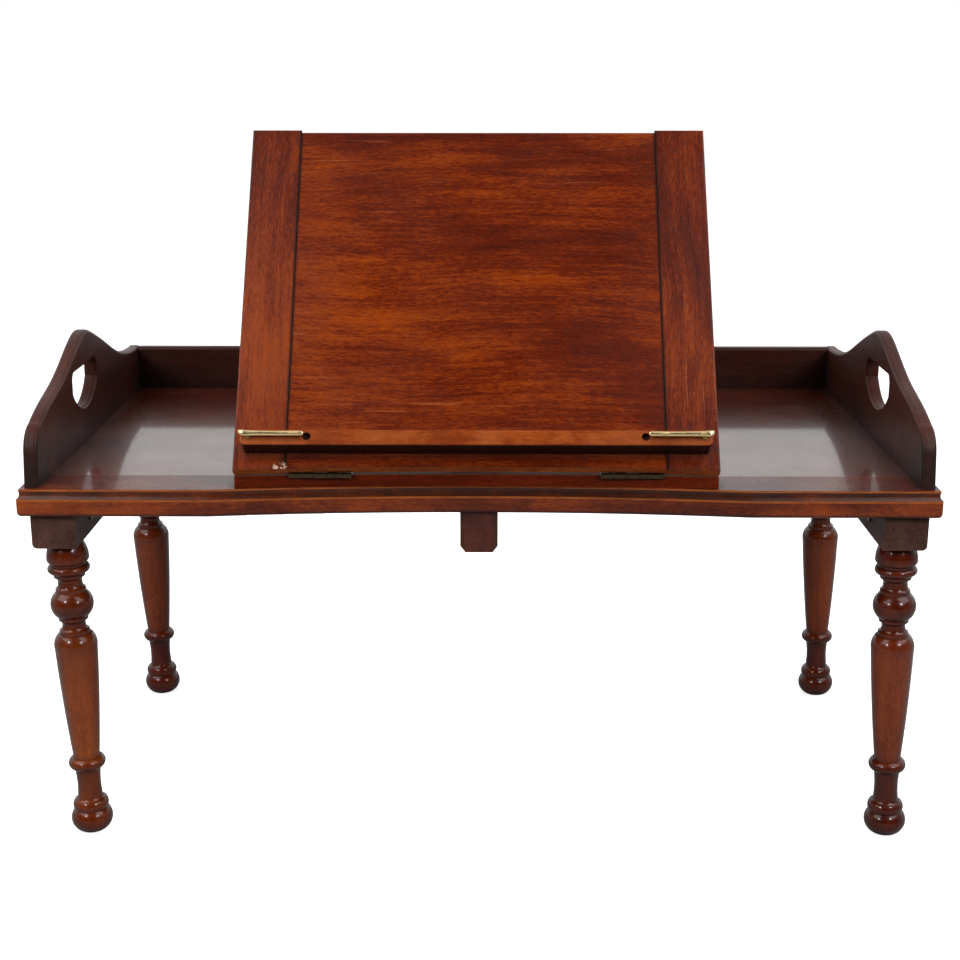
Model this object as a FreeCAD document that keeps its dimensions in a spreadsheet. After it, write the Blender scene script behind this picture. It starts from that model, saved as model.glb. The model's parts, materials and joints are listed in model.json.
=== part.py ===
"""Wooden bed tray on folding turned legs, with an adjustable reading slope.

Frame: +X to the sitter's right, +Y to the back gallery, +Z up, origin on the floor under the middle.
Tray coordinates start at the front edge of the tray; slope coordinates start on the slope's hinge line.
"""
import FreeCAD, Part
import math
import os
import Sketcher

doc = FreeCAD.newDocument("BedTray")
V = FreeCAD.Vector

# ---------------------------------------------------------------- driving dimensions
SIZES = {
    "tray_width": 725, "tray_depth": 400, "tray_thick": 22, "tray_top": 306, "front_to_centre": 195.73,
    "rail_depth": 46, "bow_half": 212, "bow_rise": 13.5, "centre_board": 392,
    "cove_top": 1.6, "cove_drop": 6.4, "cove_deep": 2.5, "lip_back": 2.2, "edge_round": 3.5, "corner_round": 2.5,
    "gallery_thick": 11.5, "gallery_inset": 5, "gallery_front": 7.5, "gallery_back_face": 384,
    "gallery_low": 42, "gallery_peak": 94, "gallery_end": 49, "grip_length": 82, "grip_height": 36,
    "grip_sill": 29, "grip_middle": 173,
    "legrail_wide": 35, "legrail_high": 29, "legrail_outer": 354.7, "legrail_front": 10,
    "legrail_long": 344, "leg_long": 255.3, "leg_radius": 17.3, "leg_inset": 22, "leg_inward": 2.2,
    "leg_lean": 1.35, "leg_shift": 1.5, "tenon_radius": 8, "tenon_long": 20,
    "bearer_wide": 30, "bearer_high": 34, "bearer_front": 19, "bearer_long": 350,
    "base_long": 296, "base_thick": 10, "base_front": 7, "base_bow": 6.5, "base_gap": 0.4,
    "stand_shift": -2, "slope_tilt": 54.3, "slope_wide": 379, "slope_long": 307, "slope_thick": 11, "slope_bow": 3.5,
    "cleat_wide": 41, "cleat_proud": 2.5, "hinge_line": 8,
    "ledge_long": 364, "ledge_wide": 12.5, "ledge_high": 19, "ledge_up": 14,
    "clip_pivot": 176, "clip_reach": 42, "clip_radius": 2.1, "clip_row": 22,
    "strut_pivot": 130, "strut_reach": 150, "strut_wide": 44, "strut_thick": 6,
    "strut_angle": 98.5, "pin_radius": 1.5, "fit": 0.05, "leaf_thick": 1.5,
}
dims = doc.addObject("Spreadsheet::Sheet", "Dims")
for row, (alias, value) in enumerate(SIZES.items(), start=1):
    dims.set(f"A{row}", alias)
    dims.set(f"B{row}", str(value))
    dims.setAlias(f"B{row}", alias)
doc.recompute()


def size(alias):
    """The value of one cell of the sheet."""
    return float(getattr(dims, alias))


tray_under = size("tray_top") - size("tray_thick")
parts = {}


# ---------------------------------------------------------------- helpers
def at(x, y, z, axis=V(0, 0, 1), angle=0.0):
    """A placement in tray coordinates, z measured from the floor."""
    return FreeCAD.Placement(V(x, y - size("front_to_centre"), z), FreeCAD.Rotation(axis, angle))


def on_slope(x, y, z, axis=V(0, 0, 1), angle=0.0):
    """A placement in slope coordinates: y runs up the board, z stands off its underside."""
    hinge = at(size("stand_shift"), size("hinge_line"), size("tray_top") + size("base_thick") + size("base_gap"),
               V(1, 0, 0), size("slope_tilt"))
    return hinge * FreeCAD.Placement(V(x, y, z), FreeCAD.Rotation(axis, angle))


def name_part(obj, name, placement=None):
    """Give a finished piece its label and, if wanted, its place."""
    obj.Label = name
    if placement is not None:
        obj.Placement = placement
    parts[name] = obj
    return obj


def new_body(name):
    return doc.addObject("PartDesign::Body", name)


def new_sketch(body, name, role="XY_Plane", lift=0.0):
    plane = next(item for item in body.Origin.OriginFeatures if item.Role == role)
    sketch = body.newObject("Sketcher::SketchObject", name)
    sketch.AttachmentSupport = (plane, "")
    sketch.MapMode = "FlatFace"
    sketch.AttachmentOffset = FreeCAD.Placement(V(0, 0, lift), FreeCAD.Rotation())
    return sketch


def bind(sketch, constraint, expression):
    """Add a datum constraint and tie it to the sheet."""
    index = sketch.addConstraint(constraint)
    sketch.setExpression(f"Constraints[{index}]", expression)


def rectangle(sketch, wide, high, start=(0.0, 0.0)):
    """A rectangle whose width and height are sheet expressions, its first corner at start."""
    x, y = start
    w, h = 10.0, 10.0
    corners = [V(x, y, 0), V(x + w, y, 0), V(x + w, y + h, 0), V(x, y + h, 0)]
    for one, two in zip(corners, corners[1:] + corners[:1]):
        sketch.addGeometry(Part.LineSegment(one, two), False)
    for line in range(4):
        sketch.addConstraint(Sketcher.Constraint("Coincident", line, 2, (line + 1) % 4, 1))
    for line, kind in enumerate(("Horizontal", "Vertical", "Horizontal", "Vertical")):
        sketch.addConstraint(Sketcher.Constraint(kind, line))
    sketch.addConstraint(Sketcher.Constraint("DistanceX", -1, 1, 0, 1, x))
    sketch.addConstraint(Sketcher.Constraint("DistanceY", -1, 1, 0, 1, y))
    bind(sketch, Sketcher.Constraint("DistanceX", 0, 1, 0, 2, w), wide)
    bind(sketch, Sketcher.Constraint("DistanceY", 1, 1, 1, 2, h), high)


def outline(sketch, start, steps):
    """A closed outline of lines and three-point arcs; each step is (end,) or (middle, end)."""
    here = V(*start, 0)
    ends = []
    for step in steps:
        end = V(*step[-1], 0)
        ends.append(add_edge(sketch, here, V(*step[0], 0) if len(step) == 2 else None, end))
        here = end
    join_edges(sketch, ends)


def add_edge(sketch, start, middle, end):
    """Add a line or an arc; returns the sketch's numbers for its first and last point."""
    if middle is None:
        sketch.addGeometry(Part.LineSegment(start, end), False)
        return 1, 2
    sketch.addGeometry(Part.Arc(start, middle, end), False)
    clockwise = (middle - start).cross(end - middle).z < 0
    return (2, 1) if clockwise else (1, 2)


def join_edges(sketch, ends):
    """Tie each edge's last point to the next edge's first."""
    for index, (first, last) in enumerate(ends):
        follower = (index + 1) % len(ends)
        sketch.addConstraint(Sketcher.Constraint("Coincident", index, last, follower, ends[follower][0]))


def pad(body, sketch, length, name="Pad", middle=False, reverse=False):
    feature = body.newObject("PartDesign::Pad", name)
    feature.Profile = sketch
    feature.setExpression("Length", length)
    feature.Midplane = middle
    feature.Reversed = reverse
    doc.recompute()
    return feature


def pocket(body, sketch, depth=None, name="Pocket", middle=False, reverse=False):
    """Cut a sketch out of the body, through all of it when no depth is given."""
    before = body.Shape.Volume
    feature = body.newObject("PartDesign::Pocket", name)
    feature.Profile = sketch
    if depth is None:
        feature.Type = "ThroughAll"
    else:
        feature.setExpression("Length", depth)
    feature.Midplane = middle
    feature.Reversed = reverse
    doc.recompute()
    if body.Shape.Volume > before - 1e-3:
        raise RuntimeError(f"{feature.Label} in {body.Label} cuts nothing")
    return feature


def edge_names(shape, wanted):
    """Names of the edges whose middle point passes the test."""
    names = []
    for index, edge in enumerate(shape.Edges, start=1):
        middle = edge.valueAt((edge.FirstParameter + edge.LastParameter) / 2)
        if wanted(middle, edge):
            names.append(f"Edge{index}")
    return names


def soften(body, wanted, radius, name, kind="Fillet"):
    """Round or bevel the chosen edges of a body."""
    base = body.Tip
    feature = body.newObject(f"PartDesign::{kind}", name)
    feature.Base = (base, edge_names(base.Shape, wanted))
    feature.setExpression("Radius" if kind == "Fillet" else "Size", radius)
    doc.recompute()
    return feature


def box(name, wide, deep, high, placement):
    """A Part::Box whose three sizes are sheet expressions."""
    obj = doc.addObject("Part::Box", name)
    for prop, text in (("Length", wide), ("Width", deep), ("Height", high)):
        obj.setExpression(prop, text)
    obj.Placement = placement
    return obj


def fuse(name, shapes):
    obj = doc.addObject("Part::MultiFuse", name)
    obj.Shapes = shapes
    doc.recompute()
    return obj


def cut(name, base, tools):
    """The base piece less its hardware, which leaves mortises and screw holes that fit."""
    tool = tools[0] if len(tools) == 1 else fuse(f"{name}_tools", tools)
    obj = doc.addObject("Part::Cut", name)
    obj.Base = base
    obj.Tool = tool
    doc.recompute()
    return obj


def bow(x, half, rise):
    """How far a shallow circular bow stands back from its ends at x."""
    radius = (half * half + rise * rise) / (2 * rise)
    return math.sqrt(radius * radius - x * x) - (radius - rise)


# ---------------------------------------------------------------- tray
def cove(sketch, edge, into):
    """The cut above an outer edge: a cove, then a lip set back; into is the way towards the wood, 1 or -1."""
    top = size("tray_thick") - size("cove_top")
    low = top - size("cove_drop")
    above = size("tray_thick") + 1
    outside, lip = edge - into, edge + into * size("lip_back")
    outline(sketch, (outside, low), [((edge, low),),
                                     ((edge + into * size("cove_deep"), (low + top) / 2), (lip, top)),
                                     ((lip, above),), ((outside, above),), ((outside, low),)])


def front_rail():
    """The moulded front board, bowed back in the middle, with a cove under its top edge."""
    half = size("tray_width") / 2
    reach, rise, deep = size("bow_half"), size("bow_rise"), size("rail_depth")
    mid_height = size("tray_thick") / 2
    body = new_body("FrontRail")
    sketch = new_sketch(body, "FrontRailOutline")
    outline(sketch, (-half, 0), [((-reach, 0),), ((0, rise), (reach, 0)), ((half, 0),),
                                 ((half, deep),), ((-half, deep),), ((-half, 0),)])
    pad(body, sketch, "Dims.tray_thick")
    soften(body, lambda p, e: abs(abs(p.x) - half) < 1e-3 and p.y < 1e-3 and abs(p.z - mid_height) < 1,
           "Dims.corner_round", "Corners")
    straight = new_sketch(body, "FrontCove", "YZ_Plane")
    cove(straight, 0, 1)
    pocket(body, straight, "Dims.tray_width", "FrontCovePocket", middle=True)
    ring = new_sketch(body, "BowCove", "YZ_Plane")
    cove(ring, rise, 1)
    bow_radius = (reach * reach + rise * rise) / (2 * rise)
    centre = rise - bow_radius
    ring.addGeometry(Part.LineSegment(V(centre, 0, 0), V(centre, 30, 0)), True)
    groove = body.newObject("PartDesign::Groove", "BowCoveGroove")
    groove.Profile = ring
    groove.ReferenceAxis = (ring, ["Axis0"])
    groove.Angle = 60
    groove.Midplane = True
    doc.recompute()
    for side in (-1, 1):
        end = new_sketch(body, f"EndCove{side + 1}", "XZ_Plane")
        cove(end, side * half, -side)
        pocket(body, end, "Dims.rail_depth + 2", f"EndCovePocket{side + 1}")
    soften(body, lambda p, e: p.z < 1e-3 and (p.y < rise + 0.1 or abs(p.x) > half - 1),
           "Dims.edge_round", "UnderRound")
    return name_part(body, "tray_front_rail", at(0, 0, tray_under))


def tray_board(name, left, right, coved_left=False, coved_right=False):
    """One of the three boards behind the front rail, coved where it shows an outer edge."""
    body = new_body(name)
    wide = right - left
    deep = size("tray_depth") - size("rail_depth")
    sketch = new_sketch(body, f"{name}Outline")
    outline(sketch, (0, 0), [((wide, 0),), ((wide, deep),), ((0, deep),), ((0, 0),)])
    pad(body, sketch, "Dims.tray_thick")
    corners = [0] * coved_left + [wide] * coved_right
    mid_height = size("tray_thick") / 2
    for x in corners:
        soften(body, lambda p, e: abs(p.x - x) < 1e-3 and abs(p.y - deep) < 1e-3 and abs(p.z - mid_height) < 1,
               "Dims.corner_round", f"{name}Corner")
    back = new_sketch(body, f"{name}BackCove", "YZ_Plane")
    cove(back, deep, -1)
    pocket(body, back, name=f"{name}BackPocket", reverse=True)
    for x in corners:
        side = new_sketch(body, f"{name}SideCove", "XZ_Plane")
        cove(side, x, 1 if x == 0 else -1)
        pocket(body, side, name=f"{name}SidePocket")

    def outer_foot(p, e):
        return p.z < 1e-3 and (abs(p.y - deep) < 1.3 or any(abs(p.x - x) < 1.3 for x in corners))

    soften(body, outer_foot, "Dims.edge_round", f"{name}UnderRound")
    return name_part(body, name, at(left, size("rail_depth"), tray_under))


# ---------------------------------------------------------------- gallery
def gallery_crest(sketch, start, end):
    """The ogee top edge of a side gallery, from the rounded nose to the low back."""
    low, peak = size("gallery_low"), size("gallery_peak")
    rise = peak - size("gallery_end")
    crest = 178.0
    climb = [(57.5, 0.20), (97.0, 0.41), (132.0, 0.69), (158.0, 0.91), (crest, 1.0)]
    fall = [(202.0, 0.90), (249.0, 0.57), (298.0, 0.22), (344.0, 0.05)]
    points = [start]
    points += [V(y, size("gallery_end") + rise * part, 0) for y, part in climb]
    points += [V(y, low + (peak - low) * part, 0) for y, part in fall]
    points.append(end)
    curve = Part.BSplineCurve()
    curve.interpolate(points)
    sketch.addGeometry(curve, False)


def side_gallery(name, side):
    """A shaped end board with a hand hole under its hump."""
    long = size("gallery_back_face") + size("gallery_thick") - size("gallery_front")
    low, nose = size("gallery_low"), size("gallery_end")
    body = new_body(name)
    sketch = new_sketch(body, f"{name}Outline", "YZ_Plane")
    foot, cheek, shoulder = V(0, 0, 0), V(3.8, 26, 0), V(24, nose - 1.5, 0)
    heel, tail = V(long, 0, 0), V(long, low, 0)
    ends = [add_edge(sketch, foot, None, cheek), add_edge(sketch, cheek, V(8.6, 38.4, 0), shoulder)]
    gallery_crest(sketch, shoulder, tail)
    ends += [(1, 2), add_edge(sketch, tail, None, heel), add_edge(sketch, heel, None, foot)]
    join_edges(sketch, ends)
    pad(body, sketch, "Dims.gallery_thick")
    half = size("grip_length") / 2
    middle = size("grip_middle") - size("gallery_front")
    sill, top = size("grip_sill"), size("grip_sill") + size("grip_height")
    spring, corner = sill + 19, 7.0
    hole = new_sketch(body, f"{name}Grip", "YZ_Plane")
    bend = corner * (1 - math.sqrt(0.5))
    outline(hole, (middle - half, spring), [
        ((middle, sill), (middle + half, spring)),
        ((middle + half, top - corner),),
        ((middle + half - bend, top - bend), (middle + half - corner, top)),
        ((middle - half + corner, top),),
        ((middle - half + bend, top - bend), (middle - half, top - corner)),
        ((middle - half, spring),)])
    pocket(body, hole, name=f"{name}GripPocket", reverse=True)
    thick = size("gallery_thick")

    def on_face(p):
        return p.x < 1e-3 or p.x > thick - 1e-3

    def on_rim(p, e):
        return on_face(p) and abs(p.y - middle) < half + 0.1 and sill - 0.1 < p.z < top + 0.1

    def on_crest(p, e):
        clear = p.z > top + 0.1 or abs(p.y - middle) > half + 4
        return on_face(p) and clear and p.z > 1 and p.y < long - 1e-3

    soften(body, on_rim, "2.2", f"{name}GripRound")
    soften(body, on_crest, "3.2", f"{name}CrestRound")
    outer = side * (size("tray_width") / 2 - size("gallery_inset"))
    left = outer if side < 0 else outer - thick
    return name_part(body, name, at(left, size("gallery_front"), size("tray_top")))


def back_gallery():
    """The straight low board between the two side galleries."""
    inner = size("tray_width") / 2 - size("gallery_inset") - size("gallery_thick")
    board = box("BackBoard", "Dims.tray_width - 2 * (Dims.gallery_inset + Dims.gallery_thick)",
                "Dims.gallery_thick", "Dims.gallery_low",
                at(-inner, size("gallery_back_face"), size("tray_top")))
    doc.recompute()
    rounded = doc.addObject("Part::Fillet", "BackBoardRound")
    rounded.Base = board
    top = size("tray_top") + size("gallery_low")
    rounded.Edges = [(index, 3.0, 3.0) for index, edge in enumerate(board.Shape.Edges, start=1)
                     if abs(edge.CenterOfMass.z - top) < 1e-3 and edge.Length > 100]
    doc.recompute()
    return name_part(rounded, "gallery_back")


# ---------------------------------------------------------------- screws and hinges
def primitive(kind, name, sizes, placement=None):
    """A Part primitive with its sizes given as property=number or property=expression."""
    obj = doc.addObject(f"Part::{kind}", name)
    for prop, value in sizes.items():
        if isinstance(value, str):
            obj.setExpression(prop, value)
        else:
            setattr(obj, prop, value)
    if placement is not None:
        obj.Placement = placement
    return obj


def rod_x(name, radius, start, long):
    """A cylinder along X from start."""
    place = FreeCAD.Placement(V(start, 0, 0), FreeCAD.Rotation(V(0, 1, 0), 90))
    return primitive("Cylinder", name, {"Radius": radius, "Height": long}, place)


def screw_blank(name, radius, long):
    """A countersunk screw without its slot: head at the origin, shank along -Z."""
    head = primitive("Cone", f"{name}_head", {"Radius1": radius, "Radius2": 2 * radius, "Height": 1.1 * radius},
                     FreeCAD.Placement(V(0, 0, -1.1 * radius), FreeCAD.Rotation()))
    shank = primitive("Cylinder", f"{name}_shank", {"Radius": radius, "Height": long},
                      FreeCAD.Placement(V(0, 0, -long), FreeCAD.Rotation()))
    return fuse(name, [head, shank])


def screws(name, radius, long, places):
    """A node of equal slotted screws; returns the tools that cut their holes."""
    solids, drills = [], []
    for index, place in enumerate(places, start=1):
        tag = f"{name}_{index}"
        slot = primitive("Box", f"{tag}_slot",
                         {"Length": 4.4 * radius, "Width": 0.5 * radius, "Height": 0.45 * radius},
                         FreeCAD.Placement(V(-2.2 * radius, -0.25 * radius, -0.4 * radius), FreeCAD.Rotation()))
        slotted = cut(tag, screw_blank(f"{tag}_blank", radius, long), [slot])
        slotted.Placement = place
        drill = screw_blank(f"{tag}_drill", radius, long)
        drill.Placement = place
        solids.append(slotted)
        drills.append(drill)
    group(name, solids)
    return drills


def group(name, solids):
    """Several equal pieces in one node, as separate solids."""
    obj = doc.addObject("Part::Compound", name)
    obj.Links = solids
    doc.recompute()
    return name_part(obj, name)


def leaf(name, long, deep, lift, barrel, knuckles, place, drills):
    """One leaf of a butt hinge, its barrel on the X axis and its plate towards +Y.

    The plate's upper face is lift above the axis, and knuckles says which fifths of the barrel it has.
    """
    thick, gap = size("leaf_thick"), 0.3
    plate = primitive("Box", f"{name}_plate", {"Length": long, "Width": deep, "Height": thick},
                      FreeCAD.Placement(V(-long / 2, 0, lift - thick), FreeCAD.Rotation()))
    fifth = long / 5
    tools = [rod_x(f"{name}_bore", 1.0 + size("fit"), -long / 2 - 1, long + 2)]
    for index in set(range(5)) - set(knuckles):
        start = -long / 2 + index * fifth - gap / 2
        tools.append(rod_x(f"{name}_gap{index}", barrel + gap, start, fifth + gap))
    blank = fuse(f"{name}_blank", [plate, rod_x(f"{name}_barrel", barrel, -long / 2, long)])
    trimmed = cut(f"{name}_trimmed", blank, tools)
    trimmed.Placement = place
    return cut(name, trimmed, drills)


def swing_clearance(name, long, radius, place):
    """The hollow that a hinge barrel turns in."""
    hollow = rod_x(name, radius, -long / 2 - 0.5, long + 1)
    hollow.Placement = place * hollow.Placement
    return hollow


def plate_copy(name, long, deep, lift, place):
    """The plate of a leaf as a solid block, which cuts its mortise."""
    block = primitive("Box", name, {"Length": long, "Width": deep, "Height": size("leaf_thick")})
    block.Placement = place * FreeCAD.Placement(V(-long / 2, 0, lift - size("leaf_thick")), FreeCAD.Rotation())
    return block


def leaf_holes(place, long, deep, height, down):
    """Where a leaf's two screws go; down is False for screws driven towards +Z."""
    turn = FreeCAD.Rotation() if down else FreeCAD.Rotation(V(1, 0, 0), 180)
    return [place * FreeCAD.Placement(V(x * long, 0.62 * deep, height), turn) for x in (-0.3, 0.3)]


# ---------------------------------------------------------------- legs
def turned_leg(name, side, y):
    """A turned leg: bell collar, ring, ball, long taper, ring and ball foot, with a tenon on top."""
    k = size("leg_radius") / 17.3
    long, tenon = size("leg_long"), size("tenon_long")
    body = new_body(name)
    sketch = new_sketch(body, f"{name}Profile", "XZ_Plane")
    steps = [
        ((size("tenon_radius"), tenon),), ((size("tenon_radius"), 0),), ((13.0 * k, 0),),
        ((15.6 * k, -5.5), (17.0 * k, -13.5)), ((16.4 * k, -16.2), (14.5 * k, -17.6)), ((14.5 * k, -19.4),),
        ((17.0 * k, -22.9), (14.0 * k, -26.2)), ((12.6 * k, -27.6),), ((12.6 * k, -29.6),),
        ((9.9 * k, -32.4), (9.9 * k, -35.0)), ((10.3 * k, -37.8), (12.2 * k, -39.8)), ((12.2 * k, -42.6),),
        ((17.3 * k, -53.0), (12.3 * k, -64.0)), ((11.9 * k, -66.6),),
        ((9.6 * k, -69.2), (9.6 * k, -71.8)), ((10.2 * k, -74.2), (12.3 * k, -75.8)), ((12.3 * k, -78.6),),
        ((14.0 * k, -79.2),), ((16.6 * k, -83.6), (17.3 * k, -91.0)),
        ((15.3 * k, -130.0), (11.0 * k, -186.0)), ((11.0 * k, -188.4),),
        ((15.2 * k, -193.8), (10.8 * k, -198.8)), ((9.7 * k, -212.0), (10.2 * k, -222.4)),
        ((10.9 * k, -225.6), (13.2 * k, -227.2)), ((14.7 * k, -231.0), (13.7 * k, -235.4)),
        ((17.1 * k, -245.0), (9.0 * k, -long)), ((0, -long),), ((0, tenon),)]
    outline(sketch, (0, tenon), steps)
    turned = body.newObject("PartDesign::Revolution", f"{name}Turning")
    turned.Profile = sketch
    turned.ReferenceAxis = (sketch, ["V_Axis"])
    turned.Angle = 360
    doc.recompute()
    x = side * (size("legrail_outer") - size("legrail_wide") / 2 - size("leg_inward")) + size("leg_shift")
    top = tray_under - size("legrail_high")
    body.Placement = at(x, y, top, V(0, 1, 0), -size("leg_lean"))
    waste = primitive("Box", f"{name}_waste", {"Length": 60.0, "Width": 60.0, "Height": 10.0},
                      at(x - 30, y - 30, -10))
    return name_part(cut(f"{name}_levelled", body, [waste]), name)


def leg_hinges(label, side):
    """Two butt hinges between the tray and a leg rail; returns the drills for each of them."""
    front, long = size("legrail_front"), size("legrail_long")
    hinge_long, deep, barrel, drop, from_end = 46.0, 16.0, 2.2, 2.6, 68
    axis_x = side * (size("legrail_outer") - size("legrail_wide") - drop)
    inward, outward = V(-side, 0, 0), V(side, 0, 0)
    up, down = V(0, 0, 1), V(0, 0, -1)
    spots = [at(axis_x, y, tray_under - drop).Base for y in (front + from_end, front + long - from_end)]
    turns = {"tray": FreeCAD.Rotation(inward.cross(up), inward, up, "XYZ"),
             "rail": FreeCAD.Rotation(down.cross(outward), down, outward, "XYZ")}
    knuckles = {"tray": (0, 2, 4), "rail": (1, 3)}
    drills = {}
    for half, turn in turns.items():
        places = [FreeCAD.Placement(spot, turn) for spot in spots]
        exposed = drop - size("leaf_thick")
        holes = [hole for place in places for hole in leaf_holes(place, hinge_long, deep, exposed, False)]
        drills[half] = screws(f"leghinge_screws_{half}_{label}", 1.4, 12.0, holes)
        leaves = [leaf(f"{label}_{half}{i}", hinge_long, deep, drop, barrel, knuckles[half], place,
                       drills[half][2 * i:2 * i + 2]) for i, place in enumerate(places)]
        group(f"leghinge_leaves_{half}_{label}", leaves)
    pins = []
    for i, spot in enumerate(spots):
        pin = rod_x(f"{label}_pin{i}", 1.0, -hinge_long / 2, hinge_long)
        pin.Placement = FreeCAD.Placement(spot, turns["tray"]) * pin.Placement
        pins.append(pin)
    group(f"leghinge_pins_{label}", pins)
    return drills["tray"], drills["rail"]


def leg_pair(label, side):
    """One folding end: rail, two turned legs and two butt hinges under the tray."""
    outer, wide, high = size("legrail_outer"), size("legrail_wide"), size("legrail_high")
    front, long = size("legrail_front"), size("legrail_long")
    rows = {"front": front + size("leg_inset"), "back": front + long - size("leg_inset")}
    legs = [turned_leg(f"leg_{label}_{row}", side, y) for row, y in rows.items()]
    start = -outer if side < 0 else outer - wide
    rail = box(f"rail_{label}_blank", "Dims.legrail_wide", "Dims.legrail_long", "Dims.legrail_high",
               at(start, front, tray_under - high))
    doc.recompute()
    rounded = doc.addObject("Part::Fillet", f"rail_{label}_round")
    rounded.Base = rail
    rounded.Edges = [(index, 4.0, 4.0) for index, edge in enumerate(rail.Shape.Edges, start=1)
                     if edge.Length > 100 and abs(edge.CenterOfMass.x - side * outer) < 1e-3
                     and edge.CenterOfMass.z < tray_under - 1]
    doc.recompute()
    tray_holes, rail_holes = leg_hinges(label, side)
    name_part(cut(f"legrail_{label}", rounded, legs + rail_holes), f"legrail_{label}")
    return tray_holes


# ---------------------------------------------------------------- bearer
def bearer():
    """The bar under the middle of the tray that the folded legs close up to."""
    wide, high = size("bearer_wide"), size("bearer_high")
    blank = box("BearerBlank", "Dims.bearer_wide", "Dims.bearer_long", "Dims.bearer_high",
                at(-wide / 2, size("bearer_front"), tray_under - high))
    doc.recompute()
    shaped = doc.addObject("Part::Chamfer", "BearerShaped")
    shaped.Base = blank
    low = tray_under - high
    shaped.Edges = [(index, 4.0, 4.0) for index, edge in enumerate(blank.Shape.Edges, start=1)
                    if abs(abs(edge.CenterOfMass.x) - wide / 2) < 1e-3 and
                    (abs(edge.Length - high) < 1e-3 or edge.CenterOfMass.z < low + 1e-3)]
    doc.recompute()
    places = [at(0, size("bearer_front") + part * size("bearer_long"), low, V(1, 0, 0), 180)
              for part in (0.12, 0.5, 0.88)]
    drills = screws("bearer_screws", 2.2, 48.0, places)
    name_part(cut("bearer_drilled", shaped, drills), "centre_bearer")
    return drills


# ---------------------------------------------------------------- reading slope: base
def bowed_outline(sketch, left, right, back, half, rise, front=0.0):
    """A board's outline with its front edge on the bow through (half, front)."""
    middle = (left + right) / 2
    ends = [front + bow(x, half, rise) for x in (left, middle, right)]
    outline(sketch, (left, ends[0]), [((middle, ends[1]), (right, ends[2])), ((right, back),),
                                      ((left, back),), ((left, ends[0]),)])


def strut_foot():
    """How far behind the hinge line the strut's foot stands, by the triangle hinge-pivot-foot."""
    tilt, swing = math.radians(size("slope_tilt")), math.radians(size("strut_angle"))
    pivot_in = size("strut_thick") / 2 + 0.3
    return size("strut_pivot") * math.cos(tilt) - pivot_in * math.sin(tilt) \
        + size("strut_reach") * math.cos(swing - tilt)


def ratchet():
    """The notched strip let into the base that the strut's foot drops into."""
    pitch, deep, thick = 12.0, 2.2, 4.0
    wide = size("strut_wide") + 6
    start = size("hinge_line") + strut_foot() - 2.5 * pitch
    body = new_body("Ratchet")
    sketch = new_sketch(body, "RatchetProfile", "YZ_Plane")
    count = 8
    steps = []
    for index in range(count):
        notch = (index + 0.5) * pitch
        steps += [((notch - 4.5, thick),), ((notch + 2.0, thick - deep),), ((notch + 2.0, thick),)]
    steps += [((count * pitch, thick),), ((count * pitch, 0),), ((0, 0),), ((0, thick),)]
    outline(sketch, (0, thick), steps)
    pad(body, sketch, f"{wide}")
    top = size("tray_top") + size("base_thick")
    return name_part(body, "ratchet_strip", at(size("stand_shift") - wide / 2, start, top - thick))


def base_board(hardware, strip):
    """The flat board on the tray that carries the slope's hinges and the ratchet."""
    body = new_body("BaseBoard")
    half = size("slope_wide") / 2
    sketch = new_sketch(body, "BaseOutline")
    bowed_outline(sketch, -half, half, size("base_long"), half, size("base_bow"))
    pad(body, sketch, "Dims.base_thick")
    top = size("base_thick")
    soften(body, lambda p, e: abs(p.z - top) < 1e-3 and (abs(p.x) > half - 1 or p.y > 100), "0.8", "BaseArris")
    shift = size("stand_shift")
    body.Placement = at(shift, size("base_front"), size("tray_top"))
    bed = primitive("Box", "RatchetBed", {"Length": strip.Shape.BoundBox.XLength,
                                          "Width": strip.Shape.BoundBox.YLength, "Height": 10.0},
                    strip.Placement)
    places = [at(shift + x, y, size("tray_top") + top) for x in (-165, 165) for y in (62, 284)]
    drills = screws("base_screws", 1.9, 22.0, places)
    name_part(cut("BaseCut", body, [bed] + hardware + drills), "slope_base")
    return drills


# ---------------------------------------------------------------- reading slope: board
def slope_panel(hardware):
    """The middle board of the slope, tongued into its end cleats and hollowed for the strut."""
    half, cleat, long = size("slope_wide") / 2, size("cleat_wide"), size("slope_long")
    inner = half - cleat
    body = new_body("SlopePanel")
    sketch = new_sketch(body, "PanelOutline")
    bowed_outline(sketch, -inner, inner, long - size("cleat_proud"), half, size("slope_bow"))
    pad(body, sketch, "Dims.slope_thick")
    top = size("slope_thick")
    soften(body, lambda p, e: abs(p.z - top) < 1e-3 and abs(abs(p.x) - inner) < 1e-3,
           "0.5", "JointBevel", "Chamfer")
    soften(body, lambda p, e: p.y > long - 4 and abs(p.x) < 1 and (p.z < 1e-3 or p.z > top - 1e-3),
           "1.2", "TopArris")
    tongue = new_sketch(body, "Tongues", "XY_Plane", 3.5)
    rectangle(tongue, "Dims.slope_wide - 2 * Dims.cleat_wide + 16", "270", (-inner - 8, 20))
    pad(body, tongue, "4", "TonguePad")
    recess = new_sketch(body, "StrutRecess")
    rectangle(recess, "Dims.strut_wide + 1.2", "Dims.strut_reach + 10.5",
              (-size("strut_wide") / 2 - 0.6, size("strut_pivot") - 5.5))
    pocket(body, recess, "Dims.strut_thick + 0.7", "StrutPocket", reverse=True)
    body.Placement = on_slope(0, 0, 0)
    name_part(cut("PanelCut", body, hardware), "slope_panel")


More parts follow.
